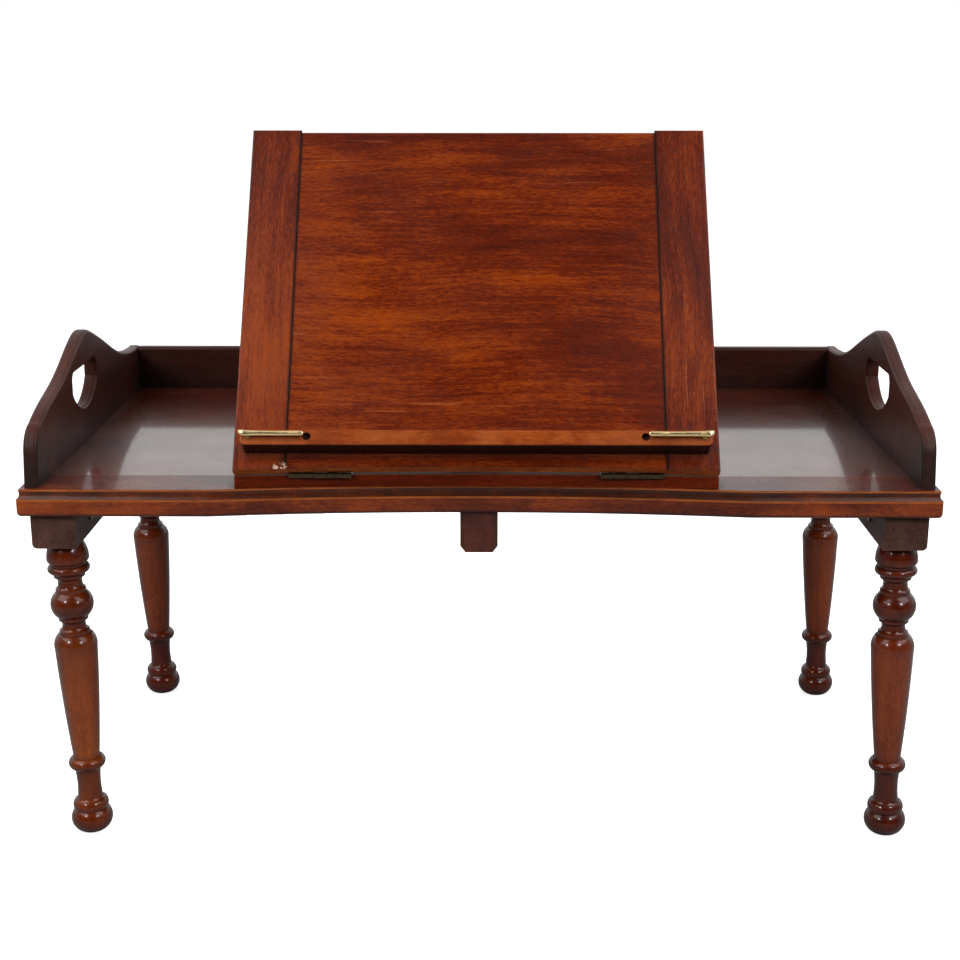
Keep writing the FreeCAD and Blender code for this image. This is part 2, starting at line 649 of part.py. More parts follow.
def slope_cleat(label, side):
    """An end cleat with its grain up the slope, grooved for the panel's tongue."""
    half, wide, long = size("slope_wide") / 2, size("cleat_wide"), size("slope_long")
    inner = half - wide
    edges = sorted((side * inner, side * half))
    body = new_body(f"Cleat_{label}")
    sketch = new_sketch(body, f"Cleat_{label}_outline")
    bowed_outline(sketch, edges[0], edges[1], long, half, size("slope_bow"))
    pad(body, sketch, "Dims.slope_thick")
    top = size("slope_thick")
    soften(body, lambda p, e: abs(p.z - top) < 1e-3 and abs(abs(p.x) - inner) < 1e-3, "0.5",
           f"Cleat_{label}_bevel", "Chamfer")
    soften(body, lambda p, e: (abs(abs(p.x) - half) < 1e-3 or p.y > long - 1e-3) and
           (p.z < 1e-3 or p.z > top - 1e-3), "1.4", f"Cleat_{label}_arris")
    groove = new_sketch(body, f"Cleat_{label}_groove", "XY_Plane", 3.5)
    rectangle(groove, "8", "270", (edges[0] if side > 0 else edges[1] - 8, 20))
    pocket(body, groove, "4", f"Cleat_{label}_pocket", reverse=True)
    body.Placement = on_slope(0, 0, 0)
    return name_part(body, f"slope_cleat_{label}")


def ledge():
    """The book stop across the foot of the slope, with a finger hollow and a bored end for each clip."""
    body = new_body("Ledge")
    half = size("ledge_long") / 2
    sketch = new_sketch(body, "LedgeOutline", "XY_Plane", size("slope_thick"))
    rectangle(sketch, "Dims.ledge_long", "Dims.ledge_wide", (-half, size("ledge_up")))
    pad(body, sketch, "Dims.ledge_high")
    middle_z = size("slope_thick") + size("ledge_high") / 2
    top = size("slope_thick") + size("ledge_high")
    soften(body, lambda p, e: abs(abs(p.x) - half) < 1e-3 and abs(p.z - middle_z) < 1, "4", "LedgeEnds")
    soften(body, lambda p, e: abs(p.z - top) < 1e-3, "1.3", "LedgeArris")
    pivot, row = size("clip_pivot"), size("clip_row")
    finger = pivot - size("clip_reach") - 3.5
    holes = [("hollow", finger, row - 1.2, 3.2, "4"), ("bore", pivot, row, 1.75, "12")]
    for side in (-1, 1):
        for tag, x, y, radius, deep in holes:
            hole = new_sketch(body, f"{tag}{side + 1}", "XY_Plane", top)
            hole.addGeometry(Part.Circle(V(side * x, y, 0), V(0, 0, 1), radius), False)
            pocket(body, hole, deep, f"{tag}Pocket{side + 1}")
    return name_part(body, "slope_ledge", on_slope(0, 0, 0))


def page_clips():
    """Two bent brass wires that swing up from the ledge to hold the pages."""
    face = size("slope_thick") + size("ledge_high")
    radius, reach, collar = size("clip_radius"), size("clip_reach"), 1.2
    bushes = []
    for label, side in (("left", -1), ("right", 1)):
        x, y = side * size("clip_pivot"), size("clip_row")
        rise = collar + 0.3 + radius
        rod = rod_x(f"clip_{label}_rod", radius, -6.0 if side < 0 else -reach, reach + 6.0)
        ends = [primitive("Sphere", f"clip_{label}_end{i}", {"Radius": radius},
                          FreeCAD.Placement(V(place, 0, 0), FreeCAD.Rotation()))
                for i, place in enumerate((-side * reach, side * 6.0))]
        post = primitive("Cylinder", f"clip_{label}_post", {"Radius": 1.7, "Height": rise + 10.0},
                         FreeCAD.Placement(V(0, 0, -rise - 10.0), FreeCAD.Rotation()))
        whole = fuse(f"ClipWire_{label}", [rod, post] + ends)
        name_part(whole, f"page_clip_{label}", on_slope(x, y, face + rise))
        ring = primitive("Cylinder", f"bush_{label}_disc", {"Radius": 3.3, "Height": collar})
        bore = primitive("Cylinder", f"bush_{label}_bore", {"Radius": 1.75, "Height": collar + 2},
                         FreeCAD.Placement(V(0, 0, -1), FreeCAD.Rotation()))
        bush = cut(f"bush_{label}", ring, [bore])
        bush.Placement = on_slope(x, y, face)
        bushes.append(bush)
    group("clip_collars", bushes)


def strut():
    """The flat prop behind the slope, on a pin across its hollow."""
    thick, reach = size("strut_thick"), size("strut_reach")
    r = thick / 2
    body = new_body("Strut")
    sketch = new_sketch(body, "StrutProfile", "YZ_Plane")
    outline(sketch, (0, -r), [((reach, -r),), ((reach + r, 0), (reach, r)), ((0, r),), ((-r, 0), (0, -r))])
    pad(body, sketch, "Dims.strut_wide", middle=True)
    bore = new_sketch(body, "StrutBore", "YZ_Plane")
    bore.addGeometry(Part.Circle(V(0, 0, 0), V(0, 0, 1), size("pin_radius") + size("fit")), False)
    pocket(body, bore, "Dims.strut_wide + 2", "StrutBorePocket", middle=True)
    window = new_sketch(body, "StrutWindow", "XY_Plane")
    half = size("strut_wide") / 2 - 12
    low, high = 34, reach - 46
    outline(window, (-half, low), [((half, low),), ((half, high),), ((0, high + half), (-half, high)),
                                   ((-half, low),)])
    pocket(body, window, "Dims.strut_thick + 2", "StrutWindowPocket", middle=True)
    place = on_slope(0, size("strut_pivot"), r + 0.3, V(1, 0, 0), -size("strut_angle"))
    name_part(body, "slope_strut", place)
    pin_long = size("strut_wide") + 24
    pin = rod_x("StrutPin", size("pin_radius"), -pin_long / 2, pin_long)
    pin.Placement = on_slope(0, size("strut_pivot"), r + 0.3) * pin.Placement
    return name_part(pin, "slope_strut_pin")


def slope_hinges():
    """Two butt hinges along the front; returns the tools for the base and for the board."""
    long, deep, barrel, x = 49.0, 18.0, 2.4, 122.0
    gap, thick = size("base_gap"), size("leaf_thick")
    pivot_z = size("tray_top") + size("base_thick") + gap
    shift = size("stand_shift")
    low = [at(shift + side * x, size("hinge_line"), pivot_z) for side in (-1, 1)]
    high = [on_slope(side * x, 0, 0) for side in (-1, 1)]
    low_drills = screws("slopehinge_screws_base", 1.3, 7.5,
                        [hole for place in low for hole in leaf_holes(place, long, deep, -gap, True)])
    high_drills = screws("slopehinge_screws_board", 1.3, 7.5,
                         [hole for place in high for hole in leaf_holes(place, long, deep, 0, False)])
    low_leaves, high_leaves, pins = [], [], []
    base_tools, board_tools = list(low_drills), list(high_drills)
    for i in range(2):
        low_leaves.append(leaf(f"slope_low{i}", long, deep, -gap, barrel, (0, 2, 4), low[i],
                               low_drills[2 * i:2 * i + 2]))
        high_leaves.append(leaf(f"slope_high{i}", long, deep, thick, barrel, (1, 3), high[i],
                                high_drills[2 * i:2 * i + 2]))
        pin = rod_x(f"slope_pin{i}", 1.0, -long / 2, long)
        pin.Placement = low[i] * pin.Placement
        pins.append(pin)
        base_tools += [swing_clearance(f"base_hollow{i}", long, barrel + 0.4, low[i]),
                       plate_copy(f"base_mortise{i}", long, deep, -gap, low[i])]
        board_tools += [swing_clearance(f"board_hollow{i}", long, barrel + 0.4, high[i]),
                        plate_copy(f"board_mortise{i}", long, deep, thick, high[i])]
    group("slopehinge_leaves_base", low_leaves)
    group("slopehinge_leaves_board", high_leaves)
    group("slopehinge_pins", pins)
    return base_tools, board_tools


# ---------------------------------------------------------------- assembly
tray_drills = {side: leg_pair(side, sign) for side, sign in (("left", -1), ("right", 1))}
centre_drills = bearer()
base_tools, board_tools = slope_hinges()
strip = ratchet()
centre_drills += base_board(base_tools, strip)
strut_pin = strut()
slope_panel(board_tools + [strut_pin])
slope_cleat("left", -1)
slope_cleat("right", 1)
ledge()
page_clips()
side_gallery("gallery_left", -1)
side_gallery("gallery_right", 1)
back_gallery()
front_rail()
half_tray, half_centre = size("tray_width") / 2, size("centre_board") / 2
left_board = tray_board("BoardLeft", -half_tray, -half_centre, coved_left=True)
centre_board = tray_board("BoardCentre", -half_centre, half_centre)
right_board = tray_board("BoardRight", half_centre, half_tray, coved_right=True)
boards = {"tray_board_left": (left_board, tray_drills["left"]),
          "tray_board_centre": (centre_board, centre_drills),
          "tray_board_right": (right_board, tray_drills["right"])}
for name, (board, drills) in boards.items():
    parts.pop(board.Label)
    name_part(cut(f"{name}_cut", board, drills), name)

doc.recompute()
for obj in doc.Objects:
    if "Invalid" in obj.State or "Error" in obj.State:
        raise RuntimeError(f"{obj.Label} did not compute: {obj.State}")
for name, obj in parts.items():
    if obj.Shape.isNull() or not obj.Shape.isValid() or not obj.Shape.Solids:
        raise RuntimeError(f"{name} has no valid solid")

os.makedirs("parts", exist_ok=True)
for name, obj in parts.items():
    obj.Shape.exportStep(f"parts/{name}.step")
whole = Part.makeCompound([obj.Shape for obj in parts.values()])
print(len(parts), "parts", whole.optimalBoundingBox(False, False))
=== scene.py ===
import json
import math

import bpy
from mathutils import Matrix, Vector


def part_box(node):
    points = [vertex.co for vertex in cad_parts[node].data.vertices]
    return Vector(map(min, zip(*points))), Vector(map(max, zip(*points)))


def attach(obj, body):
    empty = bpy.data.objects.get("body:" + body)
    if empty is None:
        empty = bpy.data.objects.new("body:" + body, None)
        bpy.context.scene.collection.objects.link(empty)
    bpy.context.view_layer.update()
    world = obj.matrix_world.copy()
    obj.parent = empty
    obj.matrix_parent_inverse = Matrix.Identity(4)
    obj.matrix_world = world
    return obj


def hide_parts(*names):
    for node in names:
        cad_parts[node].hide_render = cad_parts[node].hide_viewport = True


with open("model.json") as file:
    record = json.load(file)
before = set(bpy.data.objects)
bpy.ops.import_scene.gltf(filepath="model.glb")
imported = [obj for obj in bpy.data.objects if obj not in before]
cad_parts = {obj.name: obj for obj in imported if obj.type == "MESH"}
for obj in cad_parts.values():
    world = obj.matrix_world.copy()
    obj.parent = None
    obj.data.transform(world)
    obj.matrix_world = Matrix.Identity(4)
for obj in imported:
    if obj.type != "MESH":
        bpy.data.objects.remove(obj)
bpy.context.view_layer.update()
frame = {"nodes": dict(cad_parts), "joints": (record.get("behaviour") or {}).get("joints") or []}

nodes = frame["nodes"]
joints = {joint["name"]: joint for joint in frame["joints"]}
slopeTilt = -math.radians(joints["slope_tilt"]["range_deg"][0])   # how far the slope stands up at rest
slopeHinge = Vector(joints["slope_tilt"]["pos_m"])
print("frame loaded:", len(nodes), "nodes")


# ---- small helpers for node trees ----
def addNode(tree, kind, x=0, **values):
    node = tree.nodes.new(kind)
    node.location.x = x
    for key, value in values.items():
        setattr(node, key, value)
    return node


def setInputs(node, **values):
    for key, value in values.items():
        node.inputs[key.replace("_", " ")].default_value = value


def mathNode(tree, operation, first, second=None, third=None, clamp=False):
    node = addNode(tree, "ShaderNodeMath", operation=operation, use_clamp=clamp)
    for socket, value in zip(node.inputs, (first, second, third)):
        if value is None:
            continue
        if isinstance(value, (int, float)):
            socket.default_value = value
        else:
            tree.links.new(value, socket)
    return node.outputs[0]


def noise(tree, vector, scale, detail=4.0, roughness=0.5, distortion=0.0):
    node = addNode(tree, "ShaderNodeTexNoise")
    setInputs(node, Scale=scale, Detail=detail, Roughness=roughness, Distortion=distortion)
    tree.links.new(vector, node.inputs["Vector"])
    return node.outputs["Fac"]


def remap(tree, value, low, high, toLow=0.0, toHigh=1.0):
    node = addNode(tree, "ShaderNodeMapRange", clamp=True)
    tree.links.new(value, node.inputs["Value"])
    for key, number in zip(("From Min", "From Max", "To Min", "To Max"), (low, high, toLow, toHigh)):
        node.inputs[key].default_value = number
    return node.outputs["Result"]


def mixColour(tree, factor, first, second, blend="MIX"):
    node = addNode(tree, "ShaderNodeMix", data_type="RGBA", blend_type=blend, clamp_result=True)
    sockets = [socket for socket in node.inputs if socket.enabled]
    for socket, value in zip(sockets, (factor, first, second)):
        if isinstance(value, (int, float)):
            socket.default_value = value
        elif isinstance(value, tuple):
            socket.default_value = (*value, 1.0)
        else:
            tree.links.new(value, socket)
    return next(socket for socket in node.outputs if socket.enabled)


def axesOf(tree, vector):
    split = addNode(tree, "ShaderNodeSeparateXYZ")
    tree.links.new(vector, split.inputs[0])
    return split.outputs


def newGroup(name, inputs, outputs):
    tree = bpy.data.node_groups.new(name, "ShaderNodeTree")
    for title, kind, value in inputs:
        socket = tree.interface.new_socket(name=title, in_out="INPUT", socket_type=kind)
        if value is not None:
            socket.default_value = value
    for title, kind in outputs:
        tree.interface.new_socket(name=title, in_out="OUTPUT", socket_type=kind)
    start = addNode(tree, "NodeGroupInput", -1200)
    end = addNode(tree, "NodeGroupOutput", 900)
    return tree, start, end


# ---- shared effects ----
def makeMahoganyGroup():
    # grain runs along the vector's X; scales are in metres
    tree, start, end = newGroup("mahoganyGrain", [
        ("Vector", "NodeSocketVector", None),
        ("Dark", "NodeSocketColor", (0.06, 0.015, 0.008, 1)),
        ("Middle", "NodeSocketColor", (0.17, 0.045, 0.018, 1)),
        ("Light", "NodeSocketColor", (0.33, 0.11, 0.035, 1)),
        ("Figure", "NodeSocketFloat", 0.5)],
        [("Color", "NodeSocketColor"), ("Pores", "NodeSocketFloat"), ("Figure", "NodeSocketFloat")])
    vector = start.outputs["Vector"]

    def stretched(x, y, z):
        node = addNode(tree, "ShaderNodeMapping", vector_type="POINT")
        node.inputs["Scale"].default_value = (x, y, z)
        tree.links.new(vector, node.inputs["Vector"])
        return node.outputs["Vector"]

    # the vector wanders a little, so the lines of the grain wave and close into loops
    wander = addNode(tree, "ShaderNodeTexNoise")
    setInputs(wander, Scale=7.0, Detail=2.0)
    tree.links.new(vector, wander.inputs["Vector"])
    drift = addNode(tree, "ShaderNodeVectorMath", operation="MULTIPLY_ADD")
    tree.links.new(wander.outputs["Color"], drift.inputs[0])
    drift.inputs[1].default_value = (0.02, 0.022, 0.022)
    tree.links.new(vector, drift.inputs[2])
    vector = drift.outputs[0]
    cloud = noise(tree, stretched(5.0, 11.0, 11.0), 1.0, 3.0, 0.55)
    patches = noise(tree, stretched(11, 85, 85), 1.0, 4.0, 0.6, 0.2)
    rings = noise(tree, stretched(7.0, 380, 380), 1.0, 3.0, 0.6)
    fleck = noise(tree, stretched(170, 900, 900), 1.0, 3.0, 0.7)
    poreNoise = noise(tree, stretched(210, 2300, 2300), 1.0, 2.0, 0.5)
    pores = remap(tree, poreNoise, 0.59, 0.68)
    weighted = mathNode(tree, "MULTIPLY", cloud, 0.36)
    weighted = mathNode(tree, "MULTIPLY_ADD", patches, 0.20, weighted)
    weighted = mathNode(tree, "MULTIPLY_ADD", rings, 0.16, weighted)
    weighted = mathNode(tree, "MULTIPLY_ADD", fleck, 0.28, weighted)
    centred = mathNode(tree, "SUBTRACT", weighted, 0.5)
    spread = mathNode(tree, "MULTIPLY", start.outputs["Figure"], 5.0)
    tone = mathNode(tree, "MULTIPLY_ADD", centred, spread, 0.5, clamp=True)
    lower = mixColour(tree, remap(tree, tone, 0.0, 0.55), start.outputs["Dark"], start.outputs["Middle"])
    colour = mixColour(tree, remap(tree, tone, 0.45, 1.0), lower, start.outputs["Light"])
    poreDark = mathNode(tree, "MULTIPLY", pores, 0.45)
    colour = mixColour(tree, poreDark, colour, start.outputs["Dark"])
    tree.links.new(colour, end.inputs["Color"])
    tree.links.new(pores, end.inputs["Pores"])
    tree.links.new(tone, end.inputs["Figure"])
    return tree


def makeEdgeWearGroup():
    # white where an outside arris is rubbed, broken up by noise
    tree, start, end = newGroup("rubbedEdges", [
        ("Vector", "NodeSocketVector", None), ("Width", "NodeSocketFloat", 0.0016),
        ("Amount", "NodeSocketFloat", 1.0)], [("Edge", "NodeSocketFloat")])
    bevel = addNode(tree, "ShaderNodeBevel", samples=6)
    tree.links.new(start.outputs["Width"], bevel.inputs["Radius"])
    geometry = addNode(tree, "ShaderNodeNewGeometry")
    dot = addNode(tree, "ShaderNodeVectorMath", operation="DOT_PRODUCT")
    tree.links.new(bevel.outputs["Normal"], dot.inputs[0])
    tree.links.new(geometry.outputs["Normal"], dot.inputs[1])
    bend = mathNode(tree, "SUBTRACT", 1.0, dot.outputs["Value"])
    edge = remap(tree, bend, 0.02, 0.22)
    broken = remap(tree, noise(tree, start.outputs["Vector"], 85.0, 5.0, 0.65), 0.34, 0.62)
    soft = mathNode(tree, "MULTIPLY", edge, broken)
    tree.links.new(mathNode(tree, "MULTIPLY", soft, start.outputs["Amount"], clamp=True), end.inputs["Edge"])
    return tree


def makeGrimeAndShadeGroup():
    # white in corners and hollows: old wax and dirt collect there, and the same mask paints the shade that falls
    # there
    tree, start, end = newGroup("cornerGrimeAndShade", [
        ("Vector", "NodeSocketVector", None), ("Reach", "NodeSocketFloat", 0.012)],
        [("GrimeAndShade", "NodeSocketFloat")])
    shade = addNode(tree, "ShaderNodeAmbientOcclusion", samples=8)
    tree.links.new(start.outputs["Reach"], shade.inputs["Distance"])
    shut = mathNode(tree, "SUBTRACT", 1.0, shade.outputs["AO"])
    patchy = remap(tree, noise(tree, start.outputs["Vector"], 38.0, 4.0, 0.6), 0.2, 0.7, 0.6, 1.0)
    grimeAndShade = mathNode(tree, "MULTIPLY", remap(tree, shut, 0.18, 0.62), patchy)
    tree.links.new(grimeAndShade, end.inputs["GrimeAndShade"])
    return tree


def makeSurfaceWearGroup():
    # fine scratches, rings and a few small dents over broad faces
    tree, start, end = newGroup("polishWear", [("Vector", "NodeSocketVector", None)],
                                [("Scratches", "NodeSocketFloat"), ("Haze", "NodeSocketFloat"),
                                 ("Dents", "NodeSocketFloat")])
    vector = start.outputs["Vector"]

    def hairlines(turn, scale, low, high):
        mapping = addNode(tree, "ShaderNodeMapping")
        mapping.inputs["Rotation"].default_value = turn
        mapping.inputs["Scale"].default_value = (9.0, 420.0, 420.0)
        tree.links.new(vector, mapping.inputs["Vector"])
        return remap(tree, noise(tree, mapping.outputs["Vector"], scale, 2.0, 0.5), low, high)

    first = hairlines((0.3, 0.2, 0.6), 1.0, 0.68, 0.72)
    second = hairlines((-0.4, 0.1, -0.9), 1.4, 0.69, 0.73)
    both = mathNode(tree, "MAXIMUM", first, second)
    where = remap(tree, noise(tree, vector, 9.0, 2.0), 0.5, 0.62)
    tree.links.new(mathNode(tree, "MULTIPLY", both, where), end.inputs["Scratches"])
    tree.links.new(remap(tree, noise(tree, vector, 14.0, 6.0, 0.7), 0.35, 0.75), end.inputs["Haze"])
    cells = addNode(tree, "ShaderNodeTexVoronoi", feature="F1")
    setInputs(cells, Scale=34.0, Randomness=1.0)
    tree.links.new(vector, cells.inputs["Vector"])
    tree.links.new(remap(tree, cells.outputs["Distance"], 0.05, 0.13, 1.0, 0.0), end.inputs["Dents"])
    return tree


mahoganyGrain = makeMahoganyGroup()
rubbedEdges = makeEdgeWearGroup()
cornerGrimeAndShade = makeGrimeAndShadeGroup()
polishWear = makeSurfaceWearGroup()

# shared by every wood, unless its own tone says otherwise
varnish = {"coatRoughness": 0.07, "ior": 1.36, "shine": 0.5, "rimWidth": 0.0016, "grimeShadeReach": 0.012,
           "grimeAndShade": 0.93, "grimeShadeColour": (0.006, 0.0030, 0.0020), "bumpDepth": 0.0003, "bump": 0.30,
           "turnedBump": 0.12}
# what a user would change about each wood: its colours (worn shows in scratches, rim on the arrises), figure,
# gloss, coat and shine of the polish, edge wear, how far grime and painted corner shade reach, and how dark the
# painted shade on a turned side goes
tones = {
    "tray": dict(
        dark=(0.020, 0.0034, 0.0018), middle=(0.066, 0.0105, 0.0045), light=(0.135, 0.026, 0.0095),
        worn=(0.36, 0.085, 0.018), rim=(0.30, 0.07, 0.016), figure=0.60, gloss=0.17, coat=0.85, edge=0.8,
        reach=0.022),
    "gallery": dict(
        dark=(0.012, 0.0024, 0.0014), middle=(0.040, 0.0066, 0.0030), light=(0.085, 0.016, 0.0060),
        worn=(0.17, 0.042, 0.013), rim=(0.13, 0.032, 0.010), figure=0.55, gloss=0.36, coat=0.06, shine=0.25,
        edge=0.6, reach=0.055),
    "moulding": dict(
        dark=(0.045, 0.0055, 0.001), middle=(0.165, 0.0235, 0.0026), light=(0.31, 0.060, 0.0072),
        worn=(0.46, 0.14, 0.030), rim=(0.50, 0.13, 0.020), figure=0.85, gloss=0.24, coat=0.3, shine=0.3,
        edge=0.8),
    "slope": dict(
        dark=(0.042, 0.0036, 0.0005), middle=(0.115, 0.0115, 0.0008), light=(0.25, 0.040, 0.0022),
        worn=(0.36, 0.10, 0.030), rim=(0.012, 0.003, 0.001), figure=1.0, gloss=0.22, coat=0.0, shine=0.25,
        edge=0.95, rimWidth=0.003, grimeAndShade=0.7),
    "cleat": dict(
        dark=(0.042, 0.0040, 0.0006), middle=(0.105, 0.0104, 0.0007), light=(0.225, 0.036, 0.0026),
        worn=(0.38, 0.12, 0.040), rim=(0.012, 0.003, 0.001), figure=1.1, gloss=0.22, coat=0.0, shine=0.3,
        edge=0.95, rimWidth=0.003, grimeAndShade=0.7),
    "base": dict(
        dark=(0.036, 0.0036, 0.0006), middle=(0.092, 0.0090, 0.0008), light=(0.16, 0.021, 0.0020),
        worn=(0.42, 0.12, 0.025), rim=(0.26, 0.06, 0.012), figure=0.6, gloss=0.42, coat=0.0, shine=0.1,
        edge=0.7),
    "ledge": dict(
        dark=(0.085, 0.0105, 0.001), middle=(0.19, 0.029, 0.0025), light=(0.33, 0.070, 0.0080),
        worn=(0.50, 0.17, 0.038), rim=(0.34, 0.085, 0.018), figure=0.65, gloss=0.26, coat=0.0, shine=0.25,
        edge=0.6),
    "leg": dict(
        dark=(0.085, 0.0125, 0.0014), middle=(0.235, 0.042, 0.0036), light=(0.40, 0.102, 0.0090),
        worn=(0.46, 0.14, 0.020), rim=(0.28, 0.070, 0.012), figure=0.50, gloss=0.20, coat=0.55, shine=0.3,
        edge=0.3, reach=0.007, grimeAndShade=1.0, turned=0.85),
    "legRed": dict(
        dark=(0.055, 0.0064, 0.0010), middle=(0.150, 0.0215, 0.0024), light=(0.27, 0.052, 0.0055),
        worn=(0.40, 0.11, 0.018), rim=(0.24, 0.055, 0.010), figure=0.50, gloss=0.20, coat=0.55, shine=0.3,
        edge=0.3, reach=0.007, grimeAndShade=1.0, turned=0.85),
    "rail": dict(
        dark=(0.020, 0.008, 0.006), middle=(0.055, 0.023, 0.017), light=(0.10, 0.044, 0.032),
        worn=(0.17, 0.075, 0.045), rim=(0.15, 0.065, 0.04), figure=0.8, gloss=0.50, coat=0.0, shine=0.2,
        edge=0.5),
    "bearer": dict(
        dark=(0.035, 0.0085, 0.0055), middle=(0.085, 0.021, 0.012), light=(0.14, 0.040, 0.023),
        worn=(0.25, 0.09, 0.045), rim=(0.2, 0.07, 0.035), figure=0.8, gloss=0.40, coat=0.1, shine=0.3,
        edge=0.5),
}
# how the grain's X is turned to run along the piece
grainTurns = {
    "x": (0.0, 0.0, 0.0),
    "y": (0.0, 0.0, math.radians(90)),
    "z": (0.0, math.radians(90), 0.0),
    "upSlope": (-slopeTilt, 0.0, math.radians(-90)),
    "slopeX": (-slopeTilt, 0.0, 0.0),
}


def bandMask(tree, value, middle, half, soft):
    # white within half of the middle height, fading over soft
    off = mathNode(tree, "ABSOLUTE", mathNode(tree, "SUBTRACT", value, middle))
    return remap(tree, off, half, half + soft, 1.0, 0.0)


def mouldingPatina(tree, place, colour, values):
    # blotches and a dark foot, dirt and painted shade in the cove, the upper arris rubbed back to orange and a
    # painted highlight along the lower one
    height = axesOf(tree, place)["Z"]
    under, top = (corner.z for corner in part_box("tray_front_rail"))
    patchy = remap(tree, noise(tree, place, 30.0, 5.0, 0.7), 0.30, 0.62, 0.35, 1.0)
    blotch = remap(tree, noise(tree, place, 16.0, 5.0, 0.68), 0.44, 0.60, 0.0, 0.62)
    colour = mixColour(tree, blotch, colour, (0.40, 0.30, 0.27), "MULTIPLY")
    foot = remap(tree, height, under + 0.0012, under + 0.0034, 0.75, 0.0)
    colour = mixColour(tree, foot, colour, (0.22, 0.14, 0.12), "MULTIPLY")
    # the cove is darkened: dirt and painted shade in the recess
    cove = bandMask(tree, height, top - 0.0048, 0.0030, 0.0010)
    dirtAndShade = mathNode(tree, "MULTIPLY", mathNode(tree, "MULTIPLY", cove, patchy), 0.92)
    colour = mixColour(tree, dirtAndShade, colour, (0.022, 0.0075, 0.0040))
    # the upper orange line is a worn arris; the lower line is a painted highlight on the bead's top edge
    upper = bandMask(tree, height, top - 0.0010, 0.0002, 0.0007)
    lower = bandMask(tree, height, top - 0.0086, 0.0002, 0.0010)
    wornAndHighlightLines = mathNode(tree, "MULTIPLY", mathNode(tree, "MAXIMUM", upper, lower), patchy)
    colour = mixColour(tree, mathNode(tree, "MULTIPLY", wornAndHighlightLines, 0.6), colour, values["rim"])
    level = remap(tree, normalAxis(tree, "Z"), 0.75, 0.95)
    return mixColour(tree, level, colour, (0.46, 0.40, 0.60), "MULTIPLY")


def galleryPatina(tree, place, colour):
    # hands and wax have blackened the nose of each end board
    axes = axesOf(tree, place)
    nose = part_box("gallery_left")[0]
    near = remap(tree, axes["Y"], nose.y + 0.012, nose.y + 0.045, 1.0, 0.0)
    low = remap(tree, axes["Z"], nose.z + 0.030, nose.z + 0.046, 1.0, 0.0)
    patchy = remap(tree, noise(tree, place, 32.0, 4.0, 0.6), 0.3, 0.6, 0.4, 0.9)
    dark = mathNode(tree, "MULTIPLY", mathNode(tree, "MULTIPLY", near, low), patchy)
    return mixColour(tree, dark, colour, (0.012, 0.0065, 0.0045))


def slopePatina(tree, place, colour):
    # dark lines where the cleats are joined, polish broken away beside the left hinge with its chips painted pale as
    # a painted highlight, and a worn foot
    axes = axesOf(tree, place)
    across, height = axes["X"], axes["Z"]
    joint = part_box("slope_cleat_left")[1].x
    middle = slopeHinge.x
    off = mathNode(tree, "ABSOLUTE", mathNode(tree, "SUBTRACT", across, middle))
    wide = mathNode(tree, "MULTIPLY", noise(tree, place, 40.0, 4.0, 0.7), 0.0022)
    fromJoint = mathNode(tree, "ABSOLUTE", mathNode(tree, "SUBTRACT", off, middle - joint))
    line = remap(tree, fromJoint, 0.0003, 0.0010, 1.0, 0.0)
    stain = remap(tree, mathNode(tree, "SUBTRACT", fromJoint, wide), 0.0, 0.0012, 0.55, 0.0)
    colour = mixColour(tree, mathNode(tree, "MAXIMUM", line, stain), colour, (0.008, 0.0024, 0.0012))
    # broken polish beside the left hinge, its chips painted pale as a painted highlight
    broken = remap(tree, noise(tree, place, 330.0, 3.0, 0.6, 0.8), 0.52, 0.56)
    beside = bandMask(tree, across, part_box("slopehinge_leaves_board")[0].x - 0.006, 0.004, 0.002)
    low = remap(tree, height, slopeHinge.z + 0.009, slopeHinge.z + 0.013, 1.0, 0.0)
    chipsAndGlints = mathNode(tree, "MULTIPLY", mathNode(tree, "MULTIPLY", broken, beside), low)
    colour = mixColour(tree, chipsAndGlints, colour, (0.62, 0.42, 0.32))
    # the foot of the board is rubbed down to lighter wood
    footFace = mathNode(tree, "MULTIPLY", remap(tree, normalAxis(tree, "Z"), -0.35, -0.7),
                        remap(tree, height, slopeHinge.z + 0.010, slopeHinge.z + 0.013, 1.0, 0.0))
    worn = mathNode(tree, "MULTIPLY", footFace, remap(tree, noise(tree, place, 60.0, 4.0, 0.6), 0.3, 0.6, 0.3, 1.0))
    return mixColour(tree, worn, colour, (0.30, 0.070, 0.014))


def turningPatina(tree, place, colour):
    # the beads and collars hold old dark polish, the long taper between them is lighter
    height = axesOf(tree, place)["Z"]
    above = remap(tree, height, 0.158, 0.182)
    below = remap(tree, height, 0.072, 0.062)
    both = mathNode(tree, "MAXIMUM", above, below)
    patchy = remap(tree, noise(tree, place, 45.0, 3.0, 0.6), 0.25, 0.75, 0.55, 1.0)
    return mixColour(tree, mathNode(tree, "MULTIPLY", both, patchy), colour, (0.29, 0.135, 0.088), "MULTIPLY")


def paintedShadeSides(tree, colour, strength):
    # painted shade, darker where a turned face curves away from the eye
    facing = addNode(tree, "ShaderNodeLayerWeight")
    facing.inputs["Blend"].default_value = 0.5
    awayShade = remap(tree, facing.outputs["Facing"], 0.18, 0.85, 0.0, strength)
    return mixColour(tree, awayShade, colour, (0.20, 0.10, 0.09), "MULTIPLY")


def normalAxis(tree, axis):
    geometry = addNode(tree, "ShaderNodeNewGeometry")
    return axesOf(tree, geometry.outputs["Normal"])[axis]


